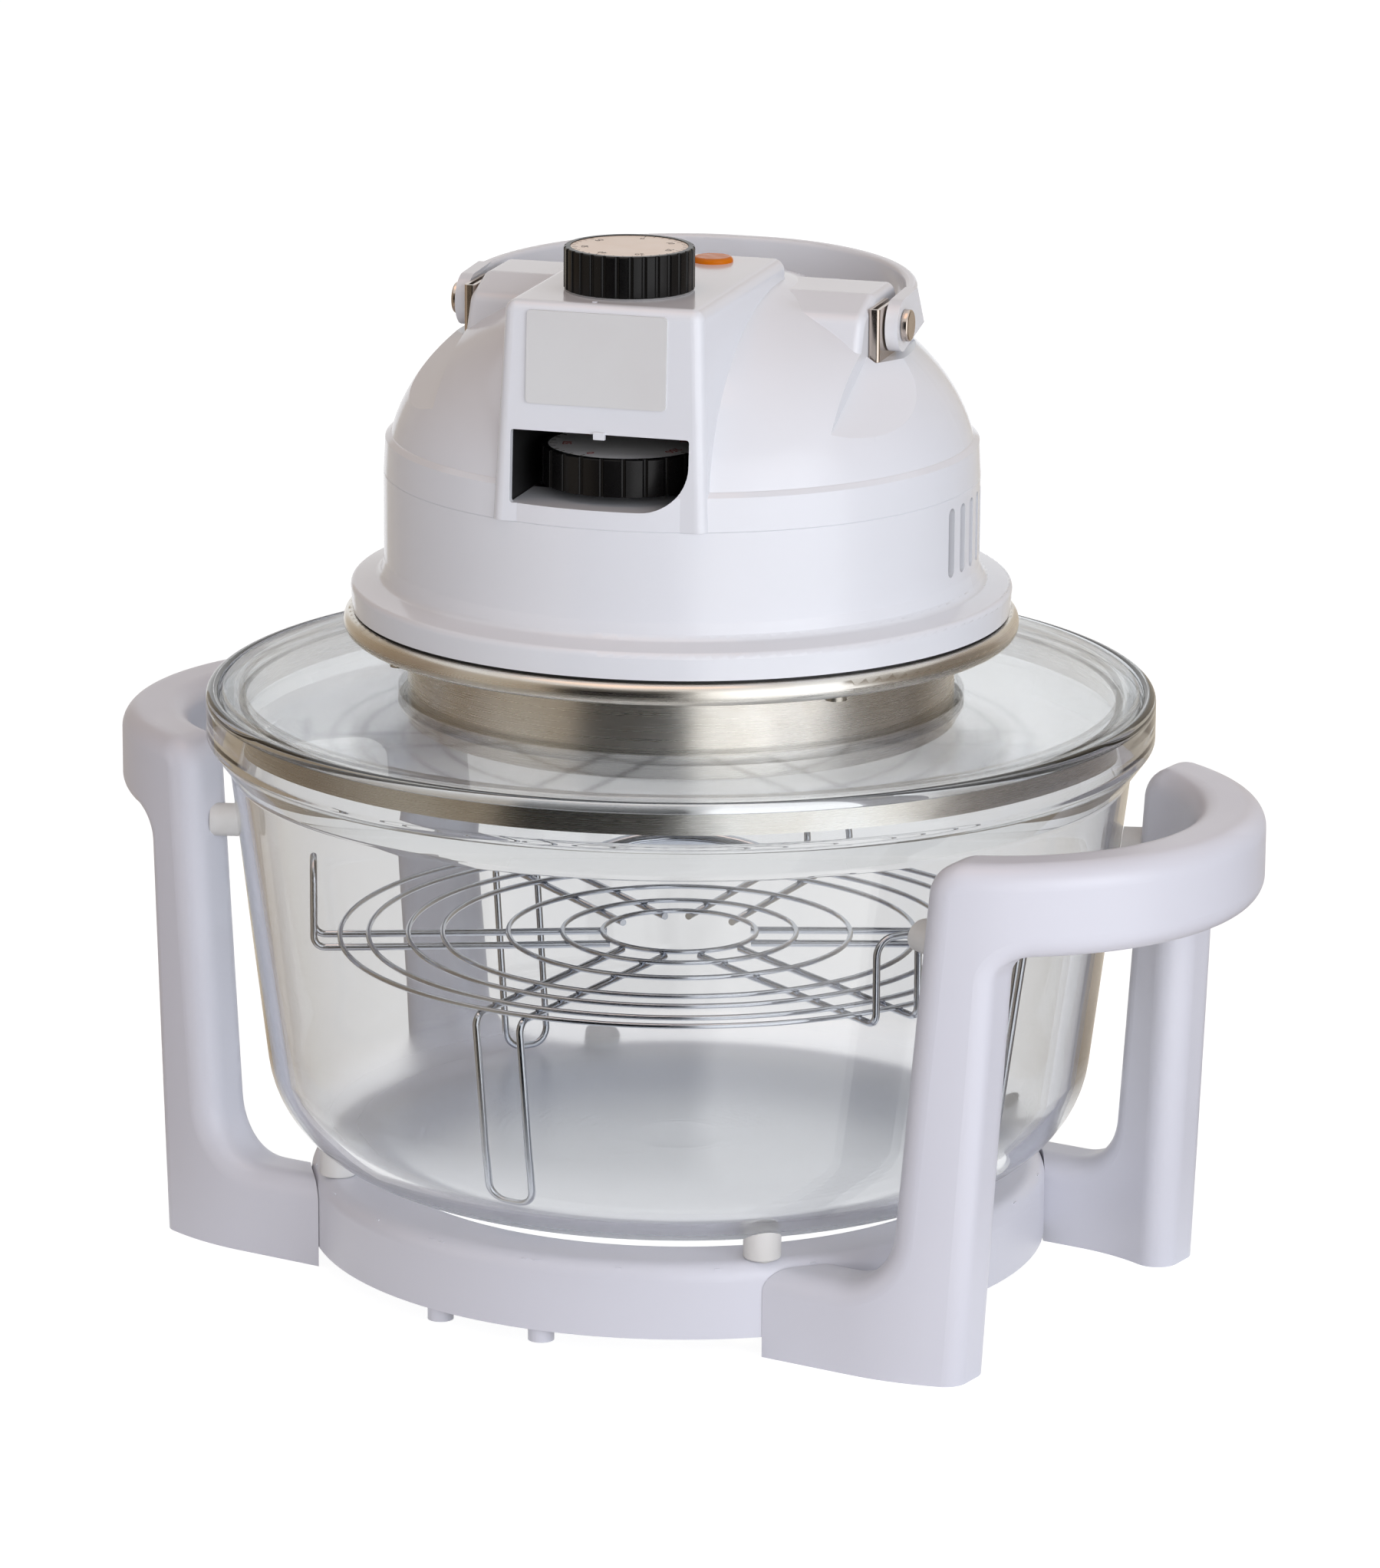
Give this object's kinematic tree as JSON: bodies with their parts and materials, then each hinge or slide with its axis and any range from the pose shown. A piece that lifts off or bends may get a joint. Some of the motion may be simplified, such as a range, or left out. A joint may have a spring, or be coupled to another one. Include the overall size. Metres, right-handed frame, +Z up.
{
  "type": "countertop halogen oven",
  "caption": "Countertop halogen oven: a glass bowl in a white looped-handle stand, a wire rack, and a lift-off glass lid with a heater head, timer knob, dial and carry handle.",
  "frame": {"origin": "on the surface that the feet stand on, under the bowl's axis", "axes": "+Z up along the bowl's axis, +X out through the right side handle, the console faces roughly -Y"},
  "size_m": [0.435, 0.33, 0.3689],
  "materials": {
    "white_plastic": "moulded, semi-gloss",
    "black_plastic": "moulded, semi-gloss",
    "cream_plastic": "satin disc",
    "grey_plastic": "satin bezel",
    "plate_grey": "satin plate",
    "amber_lens": "translucent",
    "pad_rubber": "soft, off-white",
    "gasket_rubber": "soft, black",
    "bowl_glass": "clear, pressed",
    "lid_glass": "clear, flat",
    "quartz": "clear tube",
    "satin_steel": "spun, satin",
    "bright_wire": "bright wire",
    "reflector_alu": "bright",
    "ceramic": "unglazed",
    "core_iron": "laminated",
    "copper": "enamelled winding",
    "bronze": "sintered bush",
    "screw_steel": "plated",
    "brown_plastic": "moulded case"
  },
  "bodies": {
    "stand": {"base_ring": "white_plastic", "right_handle": "white_plastic", "left_handle": "white_plastic", "bowl_pads": "pad_rubber", "leg_bumpers": "pad_rubber", "base_screws": "screw_steel"},
    "bowl": {"glass_bowl": "bowl_glass"},
    "rack": {"rack_rings": "bright_wire", "rack_struts": "bright_wire"},
    "lid": {"glass_lid": "lid_glass", "lid_rim_band": "satin_steel", "heater_pan": "satin_steel", "glass_clamp_ring": "satin_steel", "pan_gasket": "gasket_rubber", "reflector_plate": "reflector_alu", "heater_guard": "bright_wire", "halogen_tube": "quartz", "tube_holders": "ceramic", "lower_housing": "white_plastic", "upper_housing": "white_plastic", "name_plate": "plate_grey", "timer_bezel": "grey_plastic", "timer_body": "brown_plastic", "thermostat_body": "brown_plastic", "lamp_lens": "amber_lens", "indicator_lamp": "amber_lens", "hinge_pins": "screw_steel", "hinge_plates": "satin_steel", "motor_plate": "satin_steel", "shaft_bush": "bronze", "motor_core": "core_iron", "motor_coil": "copper", "bearing_strap": "satin_steel", "safety_switch": "black_plastic", "terminal_block": "cream_plastic", "cord_bush": "white_plastic", "pan_screws": "screw_steel"},
    "bail": {"carry_handle": "white_plastic"},
    "timer_control": {"timer_knob": "black_plastic", "timer_knob_disc": "cream_plastic", "timer_spindle": "screw_steel"},
    "thermostat_control": {"thermostat_dial": "black_plastic", "dial_scale_disc": "black_plastic", "thermostat_spindle": "screw_steel"},
    "fan_rotor": {"motor_shaft": "screw_steel", "motor_rotor": "core_iron", "convection_fan": "reflector_alu", "cooling_fan": "black_plastic"}
  },
  "joints": [
    {"name": "bowl_lift", "type": "slide", "parent": "stand", "child": "bowl", "axis": [0, 0, 1], "range_m": [0, 0.2]},
    {"name": "rack_lift", "type": "slide", "parent": "bowl", "child": "rack", "axis": [0, 0, 1], "range_m": [0, 0.045]},
    {"name": "lid_lift", "type": "slide", "parent": "bowl", "child": "lid", "axis": [0, 0, 1], "range_m": [0, 0.15]},
    {"name": "carry_handle_fold", "type": "hinge", "parent": "lid", "child": "bail", "pos_m": [0.00052, -0.00193, 0.3351], "axis": [0.9659, 0.2588, 0], "range_deg": [0, 90]},
    {"name": "timer_turn", "type": "hinge", "parent": "lid", "child": "timer_control", "pos_m": [0.01656, -0.06182, 0.354], "axis": [0, 0, -1], "range_deg": [0, 300]},
    {"name": "thermostat_turn", "type": "hinge", "parent": "lid", "child": "thermostat_control", "pos_m": [0.01734, -0.06472, 0.295], "axis": [0, 0, -1], "range_deg": [0, 270]},
    {"name": "fan_spin", "type": "hinge", "parent": "lid", "child": "fan_rotor", "pos_m": [0, 0, 0.25], "axis": [0, 0, 1], "continuous": true}
  ]
}
